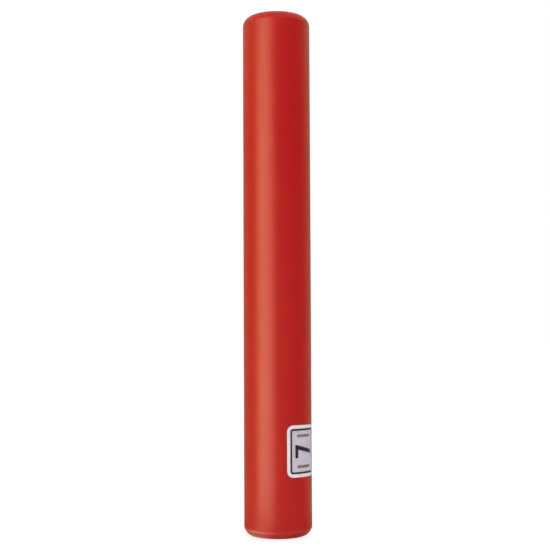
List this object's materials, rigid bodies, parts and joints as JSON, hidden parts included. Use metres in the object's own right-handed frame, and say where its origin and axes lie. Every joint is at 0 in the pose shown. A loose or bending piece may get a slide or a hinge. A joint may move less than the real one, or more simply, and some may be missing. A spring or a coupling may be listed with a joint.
{
  "type": "relay baton",
  "caption": "Smooth hollow tube with turned-in rounded ends, passed from hand to hand in a relay race, with a label near one end.",
  "frame": {"origin": "middle of the flat ring at the lower end, on the tube's axis", "axes": "+Z along the tube, away from the end with the label; the label's middle is turned 48.8 degrees from -Y towards +X"},
  "size_m": [0.0389, 0.0388, 0.3],
  "materials": {
    "red_coating": "smooth satin powder coat on thin aluminium tube",
    "label_film": "printed satin film"
  },
  "bodies": {
    "root": {"baton_tube": "red_coating", "label": "label_film"}
  },
  "joints": []
}
